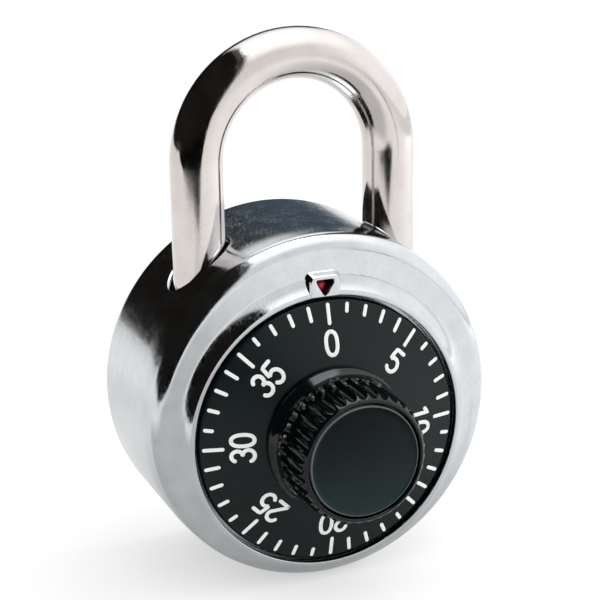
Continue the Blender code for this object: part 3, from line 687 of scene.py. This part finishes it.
# --- dial and knob --------------------------------------------------------------------------------

def cone_height(r):
    """Depth of the dial's top surface at a radius."""
    return SHOULDER_D + (CROWN_D - SHOULDER_D) * (SHOULDER_R - r) / (SHOULDER_R - CROWN_R)


def dial():
    """Dial disc: step round the knob, cone, rounded edge and the hollow behind."""
    profile = [(2.8, 25.0), (9.15, 25.0), (9.3, 25.2), (9.4, 25.5), (9.55, 25.62)]
    profile += [(r, cone_height(r)) for r in (CROWN_R, 11.5, 13.5, 15.5, 17.0, 17.6)]
    profile += [(17.8, 23.47), (17.95, 23.38), (18.05, 23.22), (18.12, 23.0), (18.15, 22.7)]
    profile += [(18.15, 21.8), (18.1, 21.66), (18.0, 21.6), (16.9, 21.6), (16.4, 22.3)]
    profile += [(CROWN_R, 23.95), (2.8, 23.95)]
    return lathe("dial_disc", profile, DIAL_BLACK)


def ribbon(path, width):
    """Points and faces of a flat stroke with round ends that lies on the dial's cone. The path is in the
    dial's plane: x right, z up, from the dial's centre."""
    rise, sink = 0.035, 0.12
    section = ((-1.0, -sink), (-1.0, rise * 0.4), (-0.8, rise),
               (0.8, rise), (1.0, rise * 0.4), (1.0, -sink))
    path = [np.array(p, float) for p in path]
    tangents = []
    for i in range(len(path)):
        along = path[min(i + 1, len(path) - 1)] - path[max(i - 1, 0)]
        tangents.append(along / np.linalg.norm(along))
    half = width / 2

    def cap(centre, tangent, sign):
        """Stations of a round end, from its tip in."""
        outward = sign * tangent * half
        turns = [math.radians(90 * k / 5) for k in range(5)]
        return [(centre + outward * math.cos(t), tangent, half * math.sin(t)) for t in turns]

    stations = cap(path[0], tangents[0], -1)
    stations += [(p, t, half) for p, t in zip(path, tangents)]
    stations += cap(path[-1], tangents[-1], 1)[::-1]
    points, rows = [], []
    for centre, tangent, reach in stations:
        side = np.array([-tangent[1], tangent[0]]) * max(reach, 0.02)
        row = []
        for offset, lift in section:
            p = centre + side * offset
            row.append(len(points))
            points.append((p[0], DIAL_Z + p[1], cone_height(np.hypot(*p)) + lift))
        rows.append(row)
    faces = band_faces(rows)
    faces.append(rows[0])
    faces.append(rows[-1][::-1])
    return points, faces


def digit_paths():
    """Centre lines of the digits in a box 1 wide and BOX_HIGH high, origin in its middle."""

    def loop(cx, cz, rx, rz, start, end, steps, power=1.0):
        line = []
        for k in range(steps + 1):
            a = math.radians(start + (end - start) * k / steps)
            s, c = math.sin(a), math.cos(a)
            line.append((cx + rx * math.copysign(abs(s) ** power, s),
                         cz + rz * math.copysign(abs(c) ** power, c)))
        return line

    zero = loop(0, 0, 0.39, 0.74, 0, 360, 40, 0.85)
    one = [(-0.24, 0.44), (-0.08, 0.58)] + [(0.06, z) for z in (0.74, 0.4, 0.0, -0.4, -0.74)]
    two = loop(0.0, 0.36, 0.38, 0.38, -75, 120, 22)
    two += [(0.2, 0.02), (0.02, -0.22), (-0.18, -0.46), (-0.36, -0.68)]
    two += [(x, -0.74) for x in (-0.39, -0.2, 0.1, 0.41)]
    upper = loop(0.0, 0.37, 0.36, 0.37, -65, 165, 24)
    lower = loop(0.0, -0.34, 0.41, 0.40, 15, 245, 26)
    five = [(0.34, 0.74), (0.1, 0.74), (-0.16, 0.74), (-0.27, 0.72), (-0.3, 0.5), (-0.34, 0.25),
            (-0.36, 0.08)]
    five += loop(0.0, -0.28, 0.40, 0.46, -42, 232, 30)
    return {"0": [zero], "1": [one], "2": [two], "3": [upper, lower], "5": [five]}


def dial_marks():
    """Forty marks and the numbers at every fifth, as thin fills on the cone, in one piece."""
    points, faces = [], []

    def add(path, width):
        new_points, new_faces = ribbon(path, width)
        base = len(points)
        points.extend(new_points)
        faces.extend([[v + base for v in face] for face in new_faces])

    wide, high = (DIGIT_HIGH / BOX_HIGH * stretch for stretch in (1.12, 1.13))
    for k in range(40):
        turn = math.radians(9 * k)
        across = np.array([math.cos(turn), -math.sin(turn)])
        out = np.array([math.sin(turn), math.cos(turn)])
        ends = (MARK_R - MARK_WIDTH / 2, MARK_R - MARK_LENGTHS[k % 5] + MARK_WIDTH / 2)
        add([out * (ends[0] + (ends[1] - ends[0]) * i / 4) for i in range(5)], MARK_WIDTH)
        if k % 5:
            continue
        text = str(k)
        for position, digit in enumerate(text):
            shift = (position - (len(text) - 1) / 2) * DIGIT_PITCH
            for path in digit_paths()[digit]:
                add([across * (shift + x * wide) + out * (DIGIT_R + z * high) for x, z in path], STROKE)
    return mesh_piece("dial_marks", points, faces, WHITE, sharp=50)


def flute(angles, r, d):
    """Radius of the knob at each angle: scallops with round feet between narrow crests."""
    axis = KNOB_R + 0.06
    size = FLUTE_R if d > FLUTE_FOOT else math.sqrt(max(FLUTE_R ** 2 - (FLUTE_FOOT - d) ** 2, 0.0))
    spacing = 2 * math.pi / FLUTES
    offset = (angles + spacing / 2) % spacing - spacing / 2
    side = np.abs(axis * np.sin(offset))
    inner = axis * np.cos(offset) - np.sqrt(np.clip(size ** 2 - side ** 2, 0, None))
    return np.minimum(r, np.where((side < size) & (r > 7.8) & (d > FLUTE_FOOT - FLUTE_R), inner, r))


def knob():
    """Knob: seat for the cap, rounded front rim, fluted barrel, base flange and the hollow behind."""
    rim = [(7.7, 35.35), (7.76, 35.5), (7.9, 35.58), (8.1, 35.5), (8.35, 35.25), (8.6, 34.85),
           (8.78, 34.35), (8.87, 33.8), (KNOB_R, 33.2)]
    flange = [(8.91, 28.5), (9.03, 27.9), (9.33, 27.3), (9.66, 26.85), (9.75, 26.5), (9.7, 26.1),
              (9.35, 25.65), (8.75, 25.3)]
    profile = [(0.0, 34.4), (4.0, 34.4), (7.55, 34.4), (7.7, 34.55)]
    profile += [tuple(p) for p in spline(rim, 3)]
    profile += [(KNOB_R, d) for d in (32.2, 31.2, 30.2)]
    profile += [(KNOB_R, FLUTE_FOOT - FLUTE_R * k / 8) for k in range(9)]
    profile += [tuple(p) for p in spline(flange, 4)]
    profile += [(7.5, 25.3), (7.2, 32.6), (4.6, 32.9), (4.6, 25.3), (2.8, 25.3), (2.8, 32.6), (0.0, 32.6)]
    return lathe("knob_body", profile, KNOB_BLACK, columns=FLUTES * 14, radius=flute, sharp=42)


def knob_cap():
    """Slightly crowned disc with a fine raised rim."""
    profile = [(r, 35.72 - 0.0062 * r ** 2) for r in (0.0, 1.2, 2.4, 3.6, 4.8, 5.8, 6.5)]
    profile += [(6.85, 35.45), (7.02, 35.49), (7.14, 35.55), (7.25, 35.56), (7.34, 35.5), (7.4, 35.38)]
    profile += [(7.4, 34.75), (0.0, 34.72)]
    return lathe("knob_disc", profile, CAP_BLACK, sharp=40)


# --- back -----------------------------------------------------------------------------------------

def back_cup():
    """Inner cup with the flat back."""
    profile = [(0.0, 1.0), (19.3, 1.0), (19.3, 2.2), (21.0, 2.2), (21.6, 2.8), (21.6, 19.9), (22.8, 19.9)]
    profile += arc(21.2, 2.8, 1.6, 0, -90, 8)
    profile += [(20.55, 1.2)] + arc(20.05, 0.25, 0.25, 0, -90, 5) + [(12.0, 0.0), (0.0, 0.0)]
    cup = lathe("back_cup", profile, BACK_STEEL, centre=(0.0, 0.0), sharp=35)
    for side in (-1, 1):
        hole = upright_rod(f"hole_cutter_{side + 1}", side * LEG_X, HOLE_R, 8.0, 27.0)
        cutter = cup.modifiers.new("Hole", "BOOLEAN")
        cutter.operation = "DIFFERENCE"
        cutter.solver = "EXACT"
        cutter.object = hole
        baked(cup)
        bpy.data.objects.remove(hole)
    cup.data.shade_smooth()
    cup.data.set_sharp_from_angle(angle=math.radians(35))
    return cup


def upright_rod(name, x, radius, low, high):
    """A plain upright cutter, removed after use."""
    sides = 64
    turn = np.linspace(0, 2 * math.pi, sides, endpoint=False)
    points = [(x + radius * math.cos(t), z, LEG_D + radius * math.sin(t))
              for z in (high, low) for t in turn]
    rings = [list(range(sides)), list(range(sides, 2 * sides))]
    faces = band_faces(rings) + [rings[0][::-1], rings[1]]
    return mesh_piece(name, points, [f[::-1] for f in faces], STEEL)


# --- latch spring ---------------------------------------------------------------------------------

def latch_coil():
    """Torsion spring round the latch's post, from the spring pin to a hook on the latch's arm."""
    x, z = LATCH_POST
    coil_r, wire_r, turns, steps = 2.05, 0.28, 4, 24
    first_d, pitch, first_turn = 6.9, 0.75, math.radians(-3.17)
    path = [(-9.7, -14.7, first_d)]
    for i in range(turns * steps + 1):
        angle, d = first_turn + 2 * math.pi * i / steps, first_d + pitch * i / steps
        path.append((x + coil_r * math.cos(angle), z + coil_r * math.sin(angle), d))
    path += [(-12.4, -6.6, 10.2), (-10.3, -4.6, 10.4), (-9.4, -2.6, 11.1), (-9.4, -2.6, 12.8)]
    curve = bpy.data.curves.new("latch_coil", "CURVE")
    curve.dimensions = "3D"
    curve.bevel_depth = wire_r * MM
    curve.bevel_resolution = 4
    curve.use_fill_caps = True
    line = curve.splines.new("POLY")
    line.points.add(len(path) - 1)
    for point, (x, z, d) in zip(line.points, path):
        point.co = (x * MM, -d * MM, z * MM, 1.0)
    bent = bpy.data.objects.new("latch_coil_path", curve)
    bpy.context.scene.collection.objects.link(bent)
    bpy.context.view_layer.update()
    mesh = bpy.data.meshes.new_from_object(bent.evaluated_get(bpy.context.evaluated_depsgraph_get()))
    bpy.data.objects.remove(bent)
    obj = bpy.data.objects.new("latch_coil", mesh)
    bpy.context.scene.collection.objects.link(obj)
    mesh.shade_smooth()
    mesh.set_sharp_from_angle(angle=math.radians(50))
    mesh.materials.clear()
    mesh.materials.append(SPRING)
    return obj


# --- shackle --------------------------------------------------------------------------------------

def shackle():
    """Round bar swept over the bow: toe leg with its notch, heel leg with its ring groove."""
    end_round = 0.9
    notch_low, notch_step, notch_top, notch_x = 11.2, 13.9, 16.0, -11.9

    def end(x, z):
        """Stations of a rounded end, from the middle of its flat out to the bar's side."""
        made = [(x, z, r) for r in (0.02, 1.4, 2.3)]
        for bend in (math.radians(15 * k) for k in range(1, 7)):
            r = BAR_R - end_round * (1 - math.sin(bend))
            made.append((x, z + end_round * (1 - math.cos(bend)), r))
        return made

    def straight(x, low, high, steps):
        return [(x, low + (high - low) * k / steps, BAR_R) for k in range(1, steps + 1)]

    stations = end(-LEG_X, TOE_Z)
    stations += [(-LEG_X, z, BAR_R) for z in (notch_low, 11.21, 12.1, 13.0, notch_step, 14.6, 15.3, 15.99,
                                              notch_top, 16.2)]
    stations += straight(-LEG_X, 16.2, BOW_Z, 16)
    stations += [("bow", math.pi - math.pi * k / 96) for k in range(1, 96)]
    stations += [(LEG_X, BOW_Z, BAR_R)]
    stations += straight(LEG_X, BOW_Z, -3.2, 30)
    groove = ((-3.35, BAR_R), (-3.4, 3.46), (-3.4, 2.8), (-5.1, 2.8), (-5.1, 3.46), (-5.15, BAR_R))
    stations += [(LEG_X, z, r) for z, r in groove]
    stations += straight(LEG_X, -5.3, HEEL_Z + 0.95, 6)
    stations += end(LEG_X, HEEL_Z)[::-1]
    turn = np.linspace(0, 2 * math.pi, 72, endpoint=False)
    points, rows = [], []
    for station in stations:
        if station[0] == "bow":
            angle = station[1]
            out = np.array([math.cos(angle), math.sin(angle)])
            # The bend flattens the bar a little on its inside
            flat = 0.22 * math.sin(angle) ** 2
            middle = np.array([0.0, BOW_Z]) + out * (LEG_X + flat / 2)
            reach, depth = BAR_R - flat / 2, BAR_R
        else:
            x, z, r = station
            out = np.array([math.copysign(1.0, x), 0.0])
            middle, reach, depth = np.array([x, z]), r, r
        row = []
        for t in turn:
            x, z = middle + out * reach * math.cos(t)
            if -LEG_X < x < 0 and notch_low < z < notch_top:
                ramp = max(notch_step - z, 0.0) / (notch_step - notch_low)
                x = min(x, notch_x + 1.8 * ramp)
            row.append(len(points))
            points.append((x, z, LEG_D + depth * math.sin(t)))
        rows.append(row)
    faces = band_faces(rows)
    faces.append(rows[0])
    faces.append(rows[-1][::-1])
    return mesh_piece("shackle_rod", points, faces, CHROME, sharp=38)


# --- stage ----------------------------------------------------------------------------------------

def camera():
    """Seen from the front, a little from the left and from above."""
    azimuth, elevation, roll = map(math.radians, (-21.53, 16.61, -0.92))
    aim, distance = Vector((5.0, -1.2, 8.68)) * MM, 256.9 * MM
    back = Vector((math.sin(azimuth) * math.cos(elevation), -math.cos(azimuth) * math.cos(elevation),
                   math.sin(elevation)))
    right = Vector((0, 0, 1)).cross(back).normalized()
    up = back.cross(right)
    turned_right = right * math.cos(roll) + up * math.sin(roll)
    turned_up = -right * math.sin(roll) + up * math.cos(roll)
    data = bpy.data.cameras.new("camera")
    data.sensor_width = 36.0
    data.lens = 108.3
    data.clip_start = 0.01
    data.clip_end = 20.0
    obj = bpy.data.objects.new("camera", data)
    bpy.context.scene.collection.objects.link(obj)
    turn = Matrix((turned_right, turned_up, back)).transposed().to_4x4()
    obj.matrix_world = Matrix.Translation(aim + back * distance) @ turn
    bpy.context.scene.camera = obj


def flat_sheet(name, corners):
    """One face through world points in millimetres, as part of the stage."""
    mesh = bpy.data.meshes.new(name)
    mesh.from_pydata([Vector(c) * MM for c in corners], [], [tuple(range(len(corners)))])
    obj = bpy.data.objects.new(name, mesh)
    bpy.context.scene.collection.objects.link(obj)
    return obj


def floor():
    """Pale paper under the lock."""
    far, low = 4000.0, -BODY_R
    obj = flat_sheet("floor", [(-far, -far, low), (far, -far, low), (far, far, low), (-far, far, low)])
    t = Tree("floor_paper")
    grain = t.noise(t.scaled(0.05), detail=3.0)
    paper = t.mix(grain, (0.53, 0.53, 0.53), (0.57, 0.57, 0.57))
    # In reflections it has painted shade: darker to the left of the lock, in front of it more than behind
    x, y, _ = t.xyz()
    reflected_shade = t.math("MULTIPLY", t.span(x, 55.0, 15.0), t.span(y, -190.0, -130.0))
    reflected_shade = t.math("MULTIPLY", reflected_shade, t.math("MULTIPLY", t.span(x, -120.0, -80.0), t.span(y, 120.0, 80.0)))
    reflected_shade = t.math("MULTIPLY", reflected_shade, t.span(y, 0.0, 30.0, 0.38, 0.17))
    mirrored = t.add("ShaderNodeLightPath").outputs["Is Glossy Ray"]
    kept = t.math("SUBTRACT", 1.0, t.math("MULTIPLY", reflected_shade, mirrored))
    t.set(Base_Color=t.mix(kept, (0.0, 0.0, 0.0), paper), Roughness=0.9, Specular_IOR_Level=0.0,
          Emission_Color=(1.0, 1.0, 1.0), Emission_Strength=t.math("MULTIPLY", kept, 0.45))
    obj.data.materials.append(t.material)


def card(name, outline):
    """A black card just over the floor that only shows in reflections."""
    obj = flat_sheet(name, [(x, y, 0.1 - BODY_R) for x, y in outline])
    material = bpy.data.materials.new(name)
    material.use_nodes = True
    t = Nodes(material.node_tree)
    t.nodes.clear()
    black_glow = t.add("ShaderNodeEmission")
    black_glow.inputs["Strength"].default_value = 0.0
    t.links.new(black_glow.outputs[0], t.add("ShaderNodeOutputMaterial").inputs[0])
    obj.data.materials.append(material)
    obj.visible_camera = False
    obj.visible_diffuse = False
    obj.visible_shadow = False


def light(name, place, size, power):
    """A soft box aimed at the lock, which the steel doesn't mirror."""
    data = bpy.data.lights.new(name, "AREA")
    data.shape = "RECTANGLE"
    data.size, data.size_y = size[0] * MM, size[1] * MM
    data.energy = power
    obj = bpy.data.objects.new(name, data)
    bpy.context.scene.collection.objects.link(obj)
    place, aim = Vector(place), Vector((0, -12, 5))
    obj.location = place * MM
    obj.rotation_mode = "QUATERNION"
    obj.rotation_quaternion = (aim - place).to_track_quat("-Z", "Y")
    obj.visible_glossy = False


def world():
    """White to the camera. In reflections the room is dark behind and to the left, and pale on the right
    and overhead."""
    made = bpy.data.worlds.new("room")
    bpy.context.scene.world = made
    made.use_nodes = True
    t = Nodes(made.node_tree)
    t.nodes.clear()
    split = t.add("ShaderNodeSeparateXYZ")
    t.put(split.inputs[0], t.add("ShaderNodeTexCoord").outputs["Generated"])
    x, y, z = split.outputs
    left = t.ease(t.math("ADD", x, t.math("MULTIPLY", z, 0.3)), 0.10, 0.02)
    right_end = t.ease(t.math("ADD", x, t.math("MULTIPLY", y, -0.25)), 0.36, 0.22)
    behind = t.math("MULTIPLY", t.ease(y, -0.2, 0.2), right_end)
    behind = t.math("MULTIPLY", behind, t.ease(z, 0.56, 0.42))
    far = t.math("MULTIPLY", t.ease(y, 0.35, 0.8), t.ease(x, -0.05, 0.35))
    dark = t.mix(far, (0.006, 0.005, 0.004), (0.060, 0.085, 0.112))
    lit = t.mix(t.ease(x, 0.3, 0.75), (1.0, 1.0, 1.0), (1.3, 1.3, 1.31))
    lit = t.mix(t.ease(z, 0.45, 0.9), lit, (1.7, 1.7, 1.7))
    lit = t.mix(t.ease(z, 0.9, 0.96), lit, (5.0, 5.3, 5.5))
    shown = t.add("ShaderNodeBackground")
    shown.inputs["Color"].default_value = (1.0, 1.0, 1.0, 1)
    mirrored = t.add("ShaderNodeBackground")
    t.put(mirrored.inputs["Color"], t.mix(t.math("MAXIMUM", left, behind), lit, dark))
    mixed = t.add("ShaderNodeMixShader")
    t.put(mixed.inputs[0], t.add("ShaderNodeLightPath").outputs["Is Glossy Ray"])
    t.put(mixed.inputs[1], shown.outputs[0])
    t.put(mixed.inputs[2], mirrored.outputs[0])
    t.put(t.add("ShaderNodeOutputWorld").inputs[0], mixed.outputs[0])


# --- the lock -------------------------------------------------------------------------------------

STEEL = casing_steel()
CHROME = shackle_steel()
BACK_STEEL = back_steel()
SPRING = plated("spring_steel", (0.22, 0.22, 0.235), (0.36, 0.36, 0.375), 0.28, 0.4)
BRASS = plated("brass", (0.52, 0.37, 0.16), (0.74, 0.57, 0.30), 0.24, 0.38)
DIAL_BLACK = black("dial_black", (0.0006, 0.0044, 0.0052), (0.03, 0.035, 0.037), 0.26, 0.34,
                   grain_scale=14.0, relief=0.10, shine=0.27)
KNOB_BLACK = black("knob_black", (0.0012, 0.0018, 0.0022), (0.02, 0.022, 0.024), 0.06, 0.11,
                   grain_scale=10.0, relief=0.05, shine=0.36)
# The cap's finish carries a painted highlight ring at its rim and painted shading, paler low down
CAP_BLACK = black("cap_black", (0.0006, 0.0020, 0.0026), (0.02, 0.023, 0.024), 0.07, 0.12,
                  grain_scale=12.0, relief=0.03, shine=0.13, rim_glint_r=7.2)
WHITE = enamel("mark_white", (0.84, 0.87, 0.85), (0.76, 0.80, 0.78), 0.45)
RED = enamel("index_red", (0.62, 0.015, 0.035), (0.42, 0.01, 0.02), 0.28)

# The CAD nodes that stay get their slot's finish
FINISHES = {"zinc_plate": BACK_STEEL, "spring_steel": SPRING, "brass": BRASS}
slots = {part["node"]: part["material_slot"] for part in frame["record"]["subparts"]}
for node, obj in frame["nodes"].items():
    if slots[node] in FINISHES:
        obj.data.materials.clear()
        obj.data.materials.append(FINISHES[slots[node]])

window, well, point = index_parts()
PIECES = [
    (casing(), "casing", "polished_steel", "outer_shell"),
    (window, "casing", "polished_steel", "outer_shell"),
    (well, "casing", "dial_black", None),
    (point, "casing", "index_red", "index_marker"),
    (back_cup(), "casing", "zinc_plate", "inner_case"),
    (dial(), "dial_and_spindle", "dial_black", "dial"),
    (dial_marks(), "dial_and_spindle", "mark_white", None),
    (knob(), "dial_and_spindle", "knob_black", "knob"),
    (knob_cap(), "dial_and_spindle", "knob_black", "knob_cap"),
    (shackle(), "shackle_bar", "shackle_steel", "shackle"),
]
for piece, body, slot, node in PIECES:
    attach(piece, body)
    if node:
        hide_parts(node)

# The spring runs from its pin to a hook on the latch's arm. It is fixed in place, and the CAD spring is
# hidden
spring = latch_coil()
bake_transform(spring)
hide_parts("latch_spring")

camera()
floor()
world()
# In reflections the pale table ends in front and to the left, and a thin seam runs off to the right
card("table_end", [(-65, -200), (-150, -192), (-230, -128), (-270, -80), (-460, -30), (-4000, 600),
                   (-4000, -4000), (60, -4000), (35, -500), (20, -330), (-30, -245)])
card("table_seam", [(104, -262), (112, -258), (420, -712), (408, -720)])
light("overhead", (60, -160, 420), (360, 260), 0.30)
light("right_box", (420, -60, 160), (260, 220), 0.95)
bpy.context.scene.view_settings.view_transform = "Standard"
